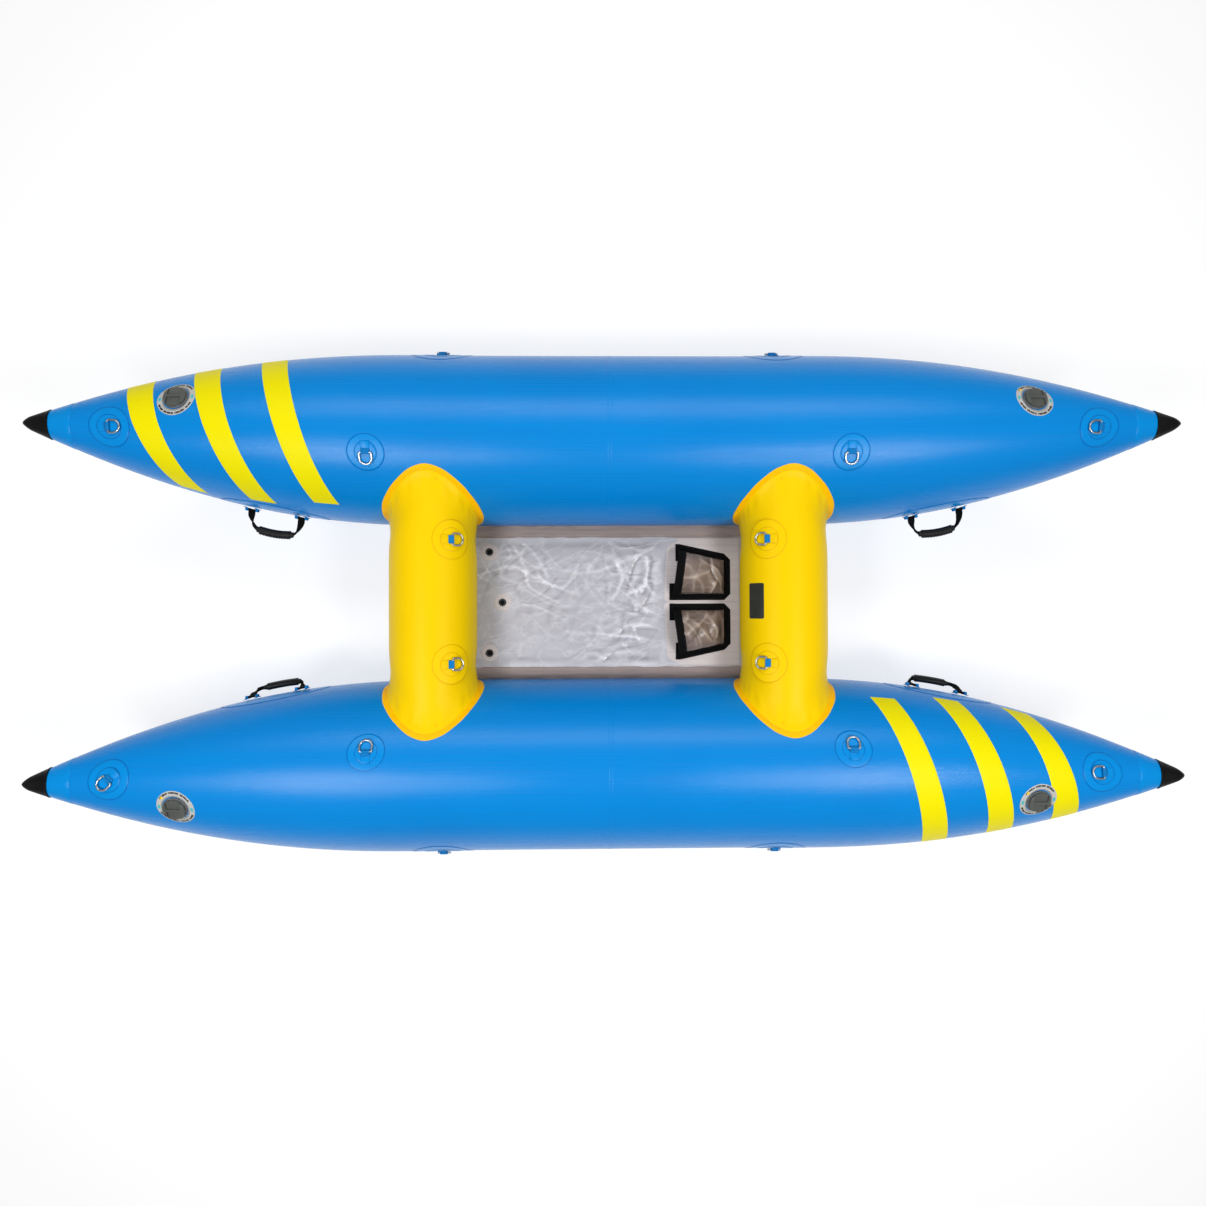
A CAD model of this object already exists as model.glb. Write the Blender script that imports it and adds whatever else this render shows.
# %% [markdown]
# # A twin-tube inflatable paddle craft
# Two long air tubes with kicked-up, pointed ends carry the craft. Two shorter tubes, the
# thwarts, hold them apart, and a cloth floor with two foot cups hangs between them.
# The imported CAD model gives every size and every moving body. This lesson adds the cloth,
# the webbing, the printing and the light. +X is the bow, +Y the left side, +Z is up.

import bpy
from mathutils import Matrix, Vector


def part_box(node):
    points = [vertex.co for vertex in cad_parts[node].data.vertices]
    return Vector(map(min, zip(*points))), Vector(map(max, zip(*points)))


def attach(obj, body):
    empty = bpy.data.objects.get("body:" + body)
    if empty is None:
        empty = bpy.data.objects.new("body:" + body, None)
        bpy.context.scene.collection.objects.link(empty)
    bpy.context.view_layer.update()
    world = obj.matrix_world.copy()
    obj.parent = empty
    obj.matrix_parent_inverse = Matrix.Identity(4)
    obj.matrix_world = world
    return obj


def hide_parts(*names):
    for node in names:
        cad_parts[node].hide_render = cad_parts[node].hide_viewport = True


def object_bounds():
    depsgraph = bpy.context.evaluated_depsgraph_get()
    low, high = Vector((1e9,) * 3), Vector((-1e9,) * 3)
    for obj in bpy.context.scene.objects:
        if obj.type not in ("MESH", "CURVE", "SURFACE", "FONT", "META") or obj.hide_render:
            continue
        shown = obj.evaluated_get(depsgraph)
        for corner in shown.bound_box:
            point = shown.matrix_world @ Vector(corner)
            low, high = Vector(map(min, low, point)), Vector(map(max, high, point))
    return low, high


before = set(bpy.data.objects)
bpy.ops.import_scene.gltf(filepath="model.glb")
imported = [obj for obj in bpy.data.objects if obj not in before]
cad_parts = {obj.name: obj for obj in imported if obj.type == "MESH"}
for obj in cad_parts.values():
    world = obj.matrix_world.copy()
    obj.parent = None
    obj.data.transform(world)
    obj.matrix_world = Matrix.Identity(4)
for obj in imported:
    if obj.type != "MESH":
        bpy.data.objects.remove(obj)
cad_box = [list(corner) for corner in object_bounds()]

import math

import bmesh
import bpy
import numpy as np
from mathutils import Matrix, Vector, noise

# %% [markdown]
# ## Sizes that several pieces share
# The CAD boxes give the tubes, the thwarts and the floor. The curves of the taper and the
# kick can't be read from a box, so their values are repeated here, in metres.

# %% Shared sizes
MM = 0.001
tube_low, tube_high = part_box("tube_left")
thwart_low, thwart_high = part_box("thwart_front")
HALF = cad_box[1][0]
TUBE_R = (tube_high.y - tube_low.y) / 2
TUBE_Y = (tube_high.y + tube_low.y) / 2
TAPER_START, TAPER_POWER, TIP_R = 600 * MM, 2.3, 8 * MM
KICK_START, KICK_RISE, KICK_POWER = 330 * MM, 275 * MM, 2.5
THWART_R = (thwart_high.x - thwart_low.x) / 2
THWART_X = (thwart_high.x + thwart_low.x) / 2
THWART_Z = (thwart_high.z + thwart_low.z) / 2
FLOOR_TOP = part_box("floor_panel")[1].z
HANDLE_X, HANDLE_A = 1130 * MM, -88
VALVE_X, VALVE_A = 1348 * MM, 21.5
SIDES = {"left": 1, "right": -1}
ENDS = {"front": 1, "rear": -1}
print(f"tube radius {TUBE_R:.3f} m, thwart radius {THWART_R:.3f} m, floor at {FLOOR_TOP:.3f} m")

# %% [markdown]
# ## Places on the craft
# A patch is easiest to think of as flat: so far along a tube, so far round it, so high over
# its cloth. Each place function turns such numbers, whole arrays at a time, into points.

# %% Places on a side tube and on a thwart
def share_past(x, start):
    return np.maximum(0, (np.abs(x) - start) / (HALF - start))


def tube_rad(x):
    return TUBE_R * (1 - (1 - TIP_R / TUBE_R) * share_past(x, TAPER_START) ** TAPER_POWER)


def axis_z(x):
    return TUBE_R + KICK_RISE * share_past(x, KICK_START) ** KICK_POWER


def tube_place(side):
    """Points at x along a side tube, at an angle outboard of its top, and a height over it."""
    def place(x, angle, height):
        r = tube_rad(x) + height
        y = side * (TUBE_Y + r * np.sin(angle))
        return np.stack(np.broadcast_arrays(x, y, axis_z(x) + r * np.cos(angle)), -1)
    return place


def thwart_place(end):
    """Points at y along a thwart, at an angle from its top towards the cockpit."""
    def place(y, angle, height):
        r = THWART_R + height
        x = end * (THWART_X - r * np.sin(angle))
        return np.stack(np.broadcast_arrays(x, y, THWART_Z + r * np.cos(angle)), -1)
    return place


def saddle_y(x, z, gap):
    """Where a line along Y at x and z meets the inner side of the left tube."""
    r = tube_rad(x) + gap
    return TUBE_Y - np.sqrt(np.maximum(0, r * r - (z - axis_z(x)) ** 2))


print("a tube's radius at the valves:", round(float(tube_rad(VALVE_X)), 3), "m")

# %% [markdown]
# ## Cloth made of rows of points
# Most pieces are sheets bonded to something round. The Cloth class takes rows of points,
# makes quads between them, and keeps the cloth's own metres as its UV map, so that a weave
# follows the piece and not the room. It turns each sheet to face outwards by itself.

# %% The cloth maker
class Cloth:
    """Collects sheets of quads, and makes them one piece."""

    def __init__(self):
        self.points, self.quads, self.uvs, self.count = [], [], [], 0

    def lay(self, points, metres, outward, closed=False):
        """Adds rows of points; closed joins the last column to the first."""
        rows, cols = points.shape[:2]
        i, j = np.meshgrid(np.arange(rows - 1), np.arange(cols - (not closed)), indexing="ij")
        corner = [(i, j), (i + 1, j), (i + 1, j + 1), (i, j + 1)]
        quads = np.stack([a * cols + b % cols for a, b in corner], -1).reshape(-1, 4)
        uvs = np.stack([metres[a, b] for a, b in corner], -2).reshape(-1, 4, 2)
        outward = np.broadcast_to(outward, points.shape)
        flat = points.reshape(-1, 3)
        across = np.cross(flat[quads[:, 2]] - flat[quads[:, 0]], flat[quads[:, 3]] - flat[quads[:, 1]])
        if (across * outward.reshape(-1, 3)[quads[:, 0]]).sum() < 0:
            quads, uvs = quads[:, ::-1], uvs[:, ::-1]
        self.points.append(flat)
        self.quads.append(quads + self.count)
        self.uvs.append(uvs)
        self.count += len(flat)
        return self

    def mesh(self, name):
        mesh = bpy.data.meshes.new(name)
        quads = np.concatenate(self.quads)
        mesh.from_pydata(np.concatenate(self.points).tolist(), [], quads.tolist())
        mesh.uv_layers.new(name="Cloth").data.foreach_set("uv", np.concatenate(self.uvs).ravel())
        work = bmesh.new()
        work.from_mesh(mesh)
        bmesh.ops.remove_doubles(work, verts=work.verts, dist=0.01 * MM)
        work.to_mesh(mesh)
        work.free()
        mesh.shade_smooth()
        return mesh


def finish_piece(obj, finish, body="hull", replaces=()):
    """Gives a piece its finish, and hangs it on its CAD body."""
    obj.data.materials.clear()
    obj.data.materials.append(finish)
    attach(obj, body)
    if replaces:
        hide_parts(*replaces)
    print(f"{obj.name}: {len(obj.data.polygons)} faces")
    return obj


def new_object(name, mesh):
    obj = bpy.data.objects.new(name, mesh)
    bpy.context.scene.collection.objects.link(obj)
    return obj


def cloth_piece(name, cloth, finish, thick=0.0, body="hull", replaces=()):
    """A piece from a Cloth, given its thickness inwards by a Solidify modifier."""
    obj = new_object(name, cloth.mesh(name))
    if thick:
        wall = obj.modifiers.new("Thickness", "SOLIDIFY")
        wall.thickness, wall.offset, wall.use_even_offset = thick, -1, False
    return finish_piece(obj, finish, body, replaces)


# %% [markdown]
# ## Node trees written as sums
# A pattern is arithmetic: threads are waves, a printed ring is a comparison. The Wire class
# wraps one output of a node, so that `1 - wave * 0.5` adds the Math nodes it needs. The
# Bench adds any other node from its type, its settings and the values of its sockets.

# %% Wires and benches
class Wire:
    """One output of a node tree, which can be added, multiplied and compared."""

    def __init__(self, bench, socket):
        self.bench, self.socket = bench, socket

    def math(self, operation, *values):
        settings = {"operation": operation}
        return self.bench.node("ShaderNodeMath", settings, dict(enumerate(values)))

    def __add__(self, other):
        return self.math("ADD", self, other)

    def __sub__(self, other):
        return self.math("SUBTRACT", self, other)

    def __rsub__(self, other):
        return self.math("SUBTRACT", other, self)

    def __mul__(self, other):
        return self.math("MULTIPLY", self, other)

    def __truediv__(self, other):
        return self.math("DIVIDE", self, other)

    def __pow__(self, other):
        return self.math("POWER", self, other)

    def __gt__(self, other):
        return self.math("GREATER_THAN", self, other)

    def __lt__(self, other):
        return self.math("LESS_THAN", self, other)

    __radd__, __rmul__ = __add__, __mul__

    def sin(self):
        return self.math("SINE", self)

    def cos(self):
        return self.math("COSINE", self)

    def abs(self):
        return self.math("ABSOLUTE", self)

    def at_least(self, other):
        return self.math("MAXIMUM", self, other)

    def at_most(self, other):
        return self.math("MINIMUM", self, other)


class Bench:
    """A node tree that is being built."""

    def __init__(self, tree):
        self.tree = tree

    def node(self, kind, settings=None, sockets=None, out=0):
        """Adds a node, makes its settings, fills its sockets, and returns one output."""
        made = self.tree.nodes.new(kind)
        for name, value in (settings or {}).items():
            if name == "stops":
                for stop in range(len(value) - 2):
                    made.color_ramp.elements.new(0.5)
                for stop, (place, colour) in zip(made.color_ramp.elements, value):
                    stop.position, stop.color = place, (*colour, 1)
            else:
                setattr(made, name, value)
        for key, value in (sockets or {}).items():
            if isinstance(value, Wire):
                self.tree.links.new(value.socket, made.inputs[key])
            else:
                made.inputs[key].default_value = value
        return Wire(self, made.outputs[out])

    def parts(self, vector):
        """The X, Y and Z of a vector, as three wires."""
        split = self.node("ShaderNodeSeparateXYZ", {}, {0: vector}).socket.node
        return [Wire(self, output) for output in split.outputs]

    def join(self, x, y, z=0.0):
        return self.node("ShaderNodeCombineXYZ", {}, {0: x, 1: y, 2: z})

    def blend(self, share, first, second):
        """A colour between two colours."""
        settings = {"data_type": "RGBA"}
        return self.node("ShaderNodeMix", settings, {0: share, 6: first, 7: second}, out=2)

    def noise(self, where, scale, detail=3.0):
        sockets = {"Vector": where, "Scale": scale, "Detail": detail}
        return self.node("ShaderNodeTexNoise", {}, sockets)

    def cloth(self):
        """The piece's own metres, along and across its threads."""
        return self.node("ShaderNodeUVMap", {"uv_map": "Cloth"})

    def here(self):
        return self.node("ShaderNodeTexCoord", out=3)


def colour(red, green, blue):
    """A screen colour, from 0 to 255, as the linear light that Blender reckons in."""
    return [((c / 255 + 0.055) / 1.055) ** 2.4 if c > 10 else c / 3294.6
            for c in (red, green, blue)] + [1.0]


def material(name, make):
    """A finish whose varying sockets come from make(bench), which also gives its relief."""
    finish = bpy.data.materials.new(name)
    finish.use_nodes = True
    finish.node_tree.nodes.clear()
    bench = Bench(finish.node_tree)
    sockets, relief = make(bench)
    if relief is not None:
        level, depth = relief
        sockets["Normal"] = bench.node(
            "ShaderNodeBump", {}, {"Strength": 1.0, "Distance": depth, "Height": level})
    shader = bench.node("ShaderNodeBsdfPrincipled", {}, sockets)
    output = finish.node_tree.nodes.new("ShaderNodeOutputMaterial")
    finish.node_tree.links.new(shader.socket, output.inputs["Surface"])
    return finish


print("benches are ready")

# %% [markdown]
# ## The cloth finishes
# The tubes are woven polyester coated on both sides, so the coating is smooth and satin,
# and the weave only shows through it as a fine grid and as long faint streaks. One maker
# gives every coated colour; its threads run along the piece's own UV map. The floor and
# the cups are thin, glossy and creased: their second maker reads an attribute called Fold,
# which says how far a point stands over its neighbours, and shades valleys and ridges by it.

# %% Coated cloth in several colours, and creased cloth
def coated(name, base, deep, rough=0.42, thread=1.6 * MM, weave=0.06, streaks=0.05, gloss=1.17):
    """A coated weave: base in general, deep in its faint streaks and stains."""
    def make(bench):
        along, across, _ = bench.parts(bench.cloth())
        warp = (along * (2 * math.pi / thread)).sin()
        weft = (across * (2 * math.pi / thread)).sin()
        fine = bench.noise(bench.join(along * 3, across * 420), 1.0, 2.0)
        broad = bench.noise(bench.here(), 2.2, 4.0)
        streak = bench.noise(bench.join(along * 1.2, across * 190), 1.0, 3.0)
        stain = ((fine - 0.5).abs() * (2 * streaks) + (streak - 0.5).at_least(0) * (6 * streaks)
                 + (broad - 0.5).at_least(0) * 0.5)
        grain = bench.noise(bench.here(), 900.0, 2.0)
        return ({"Base Color": bench.blend(stain.at_most(1.0), base, deep),
                 "Roughness": rough + (fine - 0.5) * 0.12 + (streak - 0.5) * 0.3 + (grain - 0.5) * 0.08,
                 "IOR": gloss},
                (warp * weft * weave + fine * 0.10 + streak * 0.16 + grain * 0.05, 0.5 * MM))
    return material(name, make)


def folded(name, base, valley, ridge, rough):
    """A glossy sheet that is darker in its folds and paler on their backs."""
    def make(bench):
        fold = bench.node("ShaderNodeAttribute", {"attribute_name": "Fold"}, out=2)
        cloud = bench.noise(bench.here(), 11.0, 5.0)
        fine = bench.noise(bench.here(), 240.0, 2.0)
        x, y, z = bench.parts(bench.here())
        line = bench.noise(bench.join(x * 0.7 + y * 0.5 + cloud * 0.05, y * 1.5 - x * 0.6, z), 13.0, 2.0)
        wrinkle = (1 - (line - 0.5).abs() * 26).at_least(0) * cloud
        tint = bench.blend((fold * -1).at_least(0).at_most(1), base, valley)
        tint = bench.blend(fold.at_least(0).at_most(1), tint, ridge)
        shade = bench.blend(((cloud - 0.4) * 0.6).at_least(0), tint, valley)
        shade = bench.blend(wrinkle * 0.45, shade, ridge)
        return ({"Base Color": shade, "Roughness": rough + cloud * 0.16,
                 "Coat Weight": 0.2, "Coat Roughness": 0.15, "IOR": 1.35},
                (cloud * 0.9 + wrinkle * 0.8 + fine * 0.06, 1.1 * MM))
    return material(name, make)


BLUE = coated("tube_cloth_blue", colour(0, 129, 207), colour(0, 93, 170), rough=0.26,
              streaks=0.13, gloss=1.29)
PATCH_BLUE = coated("patch_cloth_blue", colour(0, 134, 210), colour(0, 104, 180), rough=0.25,
                    gloss=1.27)
YELLOW = coated("thwart_cloth_yellow", colour(238, 198, 0), colour(212, 164, 0), rough=0.36)
FLANGE = coated("flange_cloth_amber", colour(246, 186, 0), colour(232, 160, 0), rough=0.38)
STRIPE = coated("stripe_cloth_lemon", colour(232, 220, 0), colour(212, 196, 0), rough=0.45)
BLUE_EDGE = coated("patch_edge_blue", colour(0, 96, 174), colour(0, 76, 148), rough=0.35)
YELLOW_EDGE = coated("patch_edge_yellow", colour(222, 170, 0), colour(196, 142, 0), rough=0.4)
TAUPE = coated("hem_cloth_taupe", colour(156, 142, 138), colour(118, 104, 101), 0.5, 2.4 * MM, 0.3, 0.5)
BEIGE = coated("patch_cloth_beige", colour(200, 192, 191), colour(182, 168, 163), 0.45, 3 * MM, 0.2, 0.5)
CUP = folded("cup_cloth_taupe", colour(126, 110, 101), colour(84, 72, 66),
             colour(176, 162, 152), 0.2)
FLOOR = folded("floor_sheet_grey", colour(178, 177, 183), colour(140, 137, 142),
               colour(218, 218, 223), 0.18)
print("coated cloths are ready")

# %% [markdown]
# Webbing is a heavy ribbed weave: its herringbone is two sets of slanting waves that swap
# sides at the middle of the strap.

# %% Webbing
def webbing(name, base, light):
    def make(bench):
        along, across, _ = bench.parts(bench.cloth())
        slant = across.abs() * 1.0 + along
        rib = (slant * (2 * math.pi / (2.4 * MM))).sin()
        cords = (across * (2 * math.pi / (2.2 * MM))).sin()
        relief = rib * 0.6 + cords * 0.4
        return ({"Base Color": bench.blend((relief * 0.3 + 0.3).at_least(0), base, light),
                 "Roughness": 0.78 + relief * 0.08, "IOR": 1.2},
                (relief, 0.35 * MM))
    return material(name, make)


WEB_BLACK = webbing("webbing_black", colour(5, 5, 6), colour(14, 14, 15))
WEB_BLUE = webbing("webbing_blue", colour(0, 112, 188), colour(40, 148, 214))
print("webbing is ready")

# %% [markdown]
# Moulded parts have a fine sandy grain, bent wire has faint scratches along it, and both
# are worn a little unevenly.

# %% Moulded, metal and thread finishes
def moulded(name, base, worn, rough, grain=700.0, depth=0.12 * MM, gloss=1.4):
    def make(bench):
        sand = bench.noise(bench.here(), grain, 2.0)
        wear = bench.noise(bench.here(), 14.0, 4.0)
        return ({"Base Color": bench.blend((wear - 0.45).at_least(0) * 2, base, worn),
                 "Roughness": rough + (wear - 0.5) * 0.2, "IOR": gloss},
                (sand, depth))
    return material(name, make)


def make_steel(bench):
    scratch = bench.noise(bench.here(), 380.0, 6.0)
    wear = bench.noise(bench.here(), 60.0, 3.0)
    return ({"Base Color": bench.blend(wear, colour(206, 206, 204), colour(172, 172, 174)),
             "Metallic": 1.0, "Roughness": 0.2 + scratch * 0.18}, (scratch, 0.05 * MM))


RUBBER = moulded("nose_rubber_black", colour(12, 12, 13), colour(26, 26, 28), 0.5, gloss=1.22)
GRIP = moulded("grip_rubber_black", colour(12, 12, 13), colour(26, 26, 28), 0.45, gloss=1.3)
VALVE = moulded("valve_plastic_grey", colour(92, 95, 96), colour(120, 122, 122), 0.45)
CAP = moulded("cap_plastic_grey", colour(76, 79, 75), colour(94, 97, 92), 0.45)
GROMMET = moulded("grommet_rubber_dark", colour(42, 44, 48), colour(66, 68, 72), 0.5)
WHITE = moulded("plunger_plastic_white", colour(226, 226, 224), colour(206, 206, 202), 0.4)
BAFFLE = coated("baffle_cloth_grey", colour(212, 212, 212), colour(190, 190, 190))
THREAD = moulded("thread_dark", colour(34, 34, 38), colour(60, 60, 66), 0.7, 1500.0)
PALE_THREAD = moulded("thread_taupe", colour(188, 174, 166), colour(150, 136, 130), 0.7, 1500.0)
PANEL = moulded("panel_dark", colour(40, 42, 38), colour(58, 60, 54), 0.4)
STEEL = material("ring_steel", make_steel)
print("finishes:", len(bpy.data.materials))

# %% [markdown]
# ## The side tubes
# A tube follows a rule: its radius shrinks and its axis rises by powers of the distance
# past two points. Geometry Nodes can hold that rule with its sizes as named inputs. A flat
# grid is bent round: its X becomes the length and its Y the angle. The two end rings are
# drawn to a point so that the skin is closed, and the long seam lies underneath.

# %% A node tree for a tapered, kicked tube
def tree_with(name, inputs):
    """An empty Geometry Nodes tree with named inputs and one geometry output."""
    tree = bpy.data.node_groups.new(name, "GeometryNodeTree")
    tree.interface.new_socket(name="Geometry", in_out="OUTPUT", socket_type="NodeSocketGeometry")
    for label, kind in inputs.items():
        tree.interface.new_socket(name=label, in_out="INPUT", socket_type="NodeSocket" + kind)
    bench = Bench(tree)
    entry = tree.nodes.new("NodeGroupInput")
    return bench, {output.name: Wire(bench, output) for output in entry.outputs if output.name}


def send_out(bench, geometry):
    output = bench.tree.nodes.new("NodeGroupOutput")
    bench.tree.links.new(geometry.socket, output.inputs[0])
    return bench.tree


def grown(name, start, tree, values):
    """Runs a tree on a mesh and keeps the result as a plain mesh."""
    obj = new_object(name, start)
    modifier = obj.modifiers.new(tree.name, "NODES")
    modifier.node_group = tree
    for item in tree.interface.items_tree:
        if item.name in values:
            modifier[item.identifier] = values[item.name]
    depsgraph = bpy.context.evaluated_depsgraph_get()
    mesh = bpy.data.meshes.new_from_object(
        obj.evaluated_get(depsgraph), preserve_all_data_layers=True, depsgraph=depsgraph)
    obj.modifiers.clear()
    obj.data = mesh
    mesh.name = name
    return obj


def kicked_tube_tree():
    bench, size = tree_with("Kicked tube", {
        "Side": "Float", "Half length": "Float", "Fabric length": "Float", "Radius": "Float",
        "Axis offset": "Float", "Tip radius": "Float", "Taper start": "Float",
        "Taper power": "Float", "Kick start": "Float", "Kick rise": "Float",
        "Kick power": "Float", "Rings": "Int", "Sides": "Int", "Finish": "Material"})
    grid = bench.node("GeometryNodeMeshGrid", {}, {
        "Size X": 1.0, "Size Y": 1.0, "Vertices X": size["Rings"], "Vertices Y": size["Sides"]})
    along, around, _ = bench.parts(bench.node("GeometryNodeInputPosition"))
    x = along * size["Fabric length"]
    angle = around * (2 * math.pi) * size["Side"]

    def past(start):
        return ((x.abs() - start) / (size["Half length"] - start)).at_least(0)

    shrink = (1 - size["Tip radius"] / size["Radius"]) * past(size["Taper start"]) ** size["Taper power"]
    radius = size["Radius"] * (1 - shrink)
    rise = size["Kick rise"] * past(size["Kick start"]) ** size["Kick power"]
    closed = radius * (along.abs() < 0.4999)
    place = bench.join(x, size["Side"] * (size["Axis offset"] + closed * angle.sin()),
                       size["Radius"] + rise + closed * angle.cos())
    marked = bench.node(
        "GeometryNodeStoreNamedAttribute", {"data_type": "FLOAT2", "domain": "CORNER"},
        {"Geometry": grid, "Name": "Cloth", "Value": bench.join(x, angle * radius)})
    bent = bench.node("GeometryNodeSetPosition", {}, {"Geometry": marked, "Position": place})
    merged = bench.node("GeometryNodeMergeByDistance", {}, {"Geometry": bent, "Distance": 1e-5})
    smooth = bench.node("GeometryNodeSetShadeSmooth", {}, {"Geometry": merged})
    return send_out(bench, bench.node(
        "GeometryNodeSetMaterial", {}, {"Geometry": smooth, "Material": size["Finish"]}))


# %% Both side tubes
FABRIC_END = tube_high.x
TUBE_TREE = kicked_tube_tree()
for name, side in SIDES.items():
    tube = grown(f"tube_skin_{name}", bpy.data.meshes.new("tube"), TUBE_TREE, {
        "Side": float(side), "Half length": HALF, "Fabric length": 2 * FABRIC_END,
        "Radius": TUBE_R, "Axis offset": TUBE_Y, "Tip radius": TIP_R,
        "Taper start": TAPER_START, "Taper power": TAPER_POWER, "Kick start": KICK_START,
        "Kick rise": KICK_RISE, "Kick power": KICK_POWER, "Rings": 181, "Sides": 97,
        "Finish": BLUE})
    finish_piece(tube, BLUE, replaces=[f"tube_{name}"])

# %% [markdown]
# ## What is bonded to the tubes
# Stripes, seam tapes and the wraps near the tips are thin strips. Each is a band between
# two lines on the tube, a little proud of it, with its edges brought down to the cloth.

# %% A band of cloth on a tube
EDGES = np.array([0, 0.012, 0.03, 0.2, 0.4, 0.6, 0.8, 0.97, 0.988, 1])


def lay_band(cloth, side, left, right, angles, proud, rim=0.1 * MM, closed=False):
    """Lays cloth between two lines, each given as x at every angle."""
    place = tube_place(side)
    across = EDGES[:, None]
    x = left * (1 - across) + right * across
    angle = np.broadcast_to(angles, x.shape)
    edge = np.minimum(1, np.minimum(across, 1 - across) / 0.03)
    height = rim + (proud - rim) * edge
    if not closed:
        run = np.linspace(0, 1, angle.shape[1])
        ends = np.minimum(1, np.minimum(run, 1 - run) / 0.02)
        height = rim + (height - rim) * ends
    metres = np.stack([x, angle * tube_rad(x)], -1)
    if closed:
        x, angle, height = x[:, :-1], angle[:, :-1], np.broadcast_to(height, x.shape)[:, :-1]
    points = place(x, angle, height)
    cloth.lay(points, metres, place(x, angle, height + 0.01) - points, closed)


# %% Stripes, three on a tube's end
STRIPE_W, STRIPE_PITCH, STRIPE_SLANT = 80 * MM, 216 * MM, 0.295
STRIPED_ENDS = {"left": -1, "right": 1}
FIRST_STRIPE = {"left": 1007 * MM, "right": 985 * MM}
INNER_BEND = {"left": 0.10, "right": 0}
for name, side in SIDES.items():
    cloth = Cloth()
    end = STRIPED_ENDS[name]
    for number in range(3):
        middle = FIRST_STRIPE[name] + STRIPE_PITCH * number
        inner, outer = math.radians(59 + 8 * number), math.radians(100)
        angles = np.linspace(-inner, outer, 60)
        slant = STRIPE_SLANT * (1 + INNER_BEND[name] * number * (angles < 0))
        centre = middle + slant * angles * tube_rad(middle)
        lay_band(cloth, side, end * (centre - STRIPE_W / 2), end * (centre + STRIPE_W / 2),
                 angles, 0.55 * MM)
    cloth_piece(f"stripes_{name}", cloth, STRIPE)

# %% Seam tapes amidships, and the wraps near the tips
ROUND = np.linspace(-math.pi, math.pi, 97)
TAPE_HALF, WRAP_START, WRAP_END = 6.5 * MM, 1700 * MM, 1768 * MM


def square_to_axis(x, angle):
    """The x of a ring's points, when the ring is square to the rising axis at x."""
    slope = (axis_z(x + 0.001) - axis_z(x - 0.001)) / 0.002
    return x - slope / (1 + slope ** 2) * tube_rad(x) * np.cos(angle)


for name, side in SIDES.items():
    tapes, wraps = Cloth(), Cloth()
    tape = np.full(len(ROUND), TAPE_HALF)
    lay_band(tapes, side, -tape, tape, ROUND, 0.5 * MM, closed=True)
    for end in (1, -1):
        start, stop = square_to_axis(WRAP_START, ROUND), square_to_axis(WRAP_END, ROUND)
        lay_band(wraps, side, end * start, end * stop, ROUND, 0.9 * MM, closed=True)
    cloth_piece(f"seam_tape_{name}", tapes, BLUE)
    cloth_piece(f"tip_wraps_{name}", wraps, PATCH_BLUE)

# %% [markdown]
# ## Nose cones
# A moulded cone is a shape of revolution about the rising axis. Its wall is slightly proud
# of the wrap, its nose is rounded off, and a small bead runs round its mouth.

# %% Four nose cones
CONE_L, CONE_WALL, NOSE = 70 * MM, 3.1 * MM, 24 * MM


def lay_cone(cloth, side, end):
    base = HALF - CONE_L
    turns = np.linspace(0, 0.985, 10)
    x = np.concatenate([[base + 1.5 * MM, base], base + np.array([0, 0.5, 2, 4, 5, 6]) * MM,
                        np.linspace(base + 12 * MM, HALF - NOSE, 8), HALF - NOSE + NOSE * turns[1:],
                        [HALF]])
    wall = np.full(len(x), CONE_WALL)
    wall[:8] += np.array([-2.9, -2.6, 0.2, 0.5, 0.7, 0.5, 0.2, 0]) * MM
    shrink = np.sqrt(1 - np.clip((x - HALF + NOSE) / NOSE, 0, 1) ** 2)
    angle, row = np.meshgrid(np.linspace(-math.pi, math.pi, 65), x)
    lean = np.clip((HALF - NOSE - x) / (CONE_L - NOSE), 0, 1)[:, None]
    row = row * (1 - lean) + square_to_axis(row, angle) * lean
    radius = (tube_rad(row) + wall[:, None]) * shrink[:, None]
    points = np.stack([end * row, side * (TUBE_Y + radius * np.sin(angle)),
                       axis_z(row) + radius * np.cos(angle)], -1)
    middle = np.stack([end * (row - 0.05), np.full(row.shape, side * TUBE_Y), axis_z(row)], -1)
    metres = np.stack([row, angle * 0.03], -1)
    cloth.lay(points[:, :-1], metres, (points - middle)[:, :-1], closed=True)


cones = Cloth()
for side in SIDES.values():
    for end in ENDS.values():
        lay_cone(cones, side, end)
cloth_piece("nose_cone_skins", cones, RUBBER, replaces=["nose_cones"])

# %% [markdown]
# ## Thwarts and their flanges
# A thwart is a straight tube cut to fit the side tubes. Under pressure it necks in slightly
# before each joint and then flares to the flange, where the cloth puckers.

# %% Two thwarts
def thwart_rows(end, rows=61, sides=97):
    angle = np.linspace(-math.pi, math.pi, sides)
    share = np.sin(np.linspace(-math.pi / 2, math.pi / 2, rows))[:, None]
    reach = saddle_y(THWART_X + THWART_R * np.sin(angle), THWART_Z + THWART_R * np.cos(angle), 0)
    y = share * reach
    left = reach - np.abs(y)
    neck = -5 * MM * np.exp(-((left - 0.075) / 0.05) ** 2) + 5 * MM * np.exp(-(left / 0.014) ** 2)
    pucker = 1.5 * MM * np.sin(angle * 23 + 2 * np.sin(angle * 5)) * np.exp(-((left - 0.03) / 0.02) ** 2)
    r = THWART_R + neck + pucker
    points = np.stack([end * (THWART_X + r * np.sin(angle)), y, THWART_Z + r * np.cos(angle)], -1)
    metres = np.stack(np.broadcast_arrays(y, angle * THWART_R), -1)
    outward = points - np.stack(np.broadcast_arrays(end * THWART_X, y, THWART_Z), -1)
    return points[:, :-1], metres, outward[:, :-1]


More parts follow.
